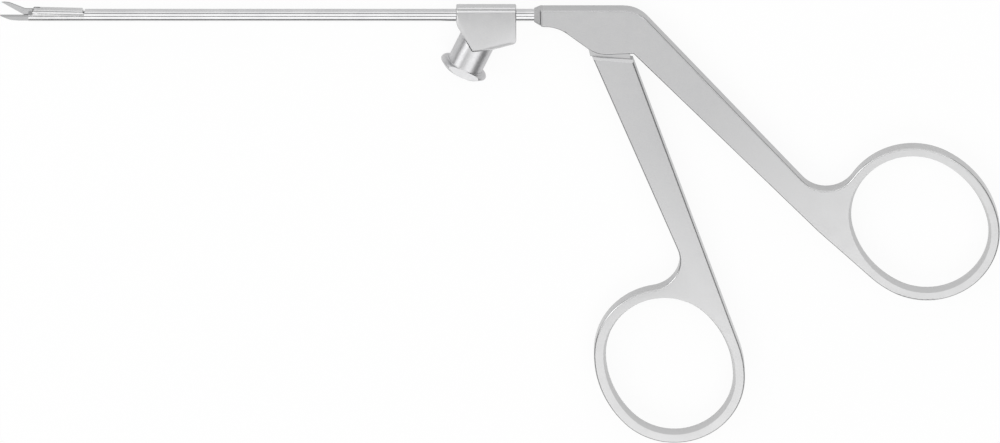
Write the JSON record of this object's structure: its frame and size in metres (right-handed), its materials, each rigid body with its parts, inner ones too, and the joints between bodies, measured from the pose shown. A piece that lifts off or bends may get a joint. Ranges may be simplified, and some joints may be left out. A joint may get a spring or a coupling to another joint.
{
  "type": "micro scissors",
  "caption": "Tube-shaft micro scissors: slanted flushing port with Luer socket, flat finger-ring handle whose swinging lever pushes a rod that closes one blade.",
  "frame": {"origin": "on the flat underside of the handle, on the axis of the lever's pivot", "axes": "+X along the shaft from the blades to the rear of the handle, +Y from the finger rings up to the shaft, +Z square to the flat handle, away from the underside"},
  "size_m": [0.1578, 0.0747, 0.0059],
  "materials": {
    "satin_steel": "satin",
    "polished_steel": "polished",
    "seal": "matte"
  },
  "bodies": {
    "frame": {"handle_frame": "satin_steel", "lever_pivot_pin": "satin_steel", "shaft_tube": "polished_steel", "rod_guide_bush": "satin_steel", "rod_seal": "seal", "port_block": "satin_steel", "luer_fitting": "satin_steel", "fixed_blade": "polished_steel", "blade_pivot_pin": "polished_steel"},
    "lever": {"finger_lever": "satin_steel"},
    "rod": {"push_rod": "polished_steel", "rod_end_eye": "satin_steel", "rod_drive_pin": "polished_steel", "slide_head": "polished_steel", "blade_drive_pin": "polished_steel"},
    "blade": {"moving_blade": "polished_steel"}
  },
  "joints": [
    {"name": "lever_pivot", "type": "hinge", "parent": "frame", "child": "lever", "pos_m": [0, 0, 0.00125], "axis": [0, 0, 1], "range_deg": [0, 8.14]},
    {"name": "rod_slide", "type": "slide", "parent": "frame", "child": "rod", "axis": [-1, 0, 0], "range_m": [0, 0.0005]},
    {"name": "blade_pivot", "type": "hinge", "parent": "frame", "child": "blade", "pos_m": [-0.09082, 0.0033, 0.00125], "axis": [0, 0, 1], "range_deg": [0, 26]}
  ],
  "couplings": [
    {"joint": "rod_slide", "follows": "lever_pivot", "m_per_rad": 0.003519},
    {"joint": "blade_pivot", "follows": "lever_pivot", "ratio": 3.194}
  ]
}
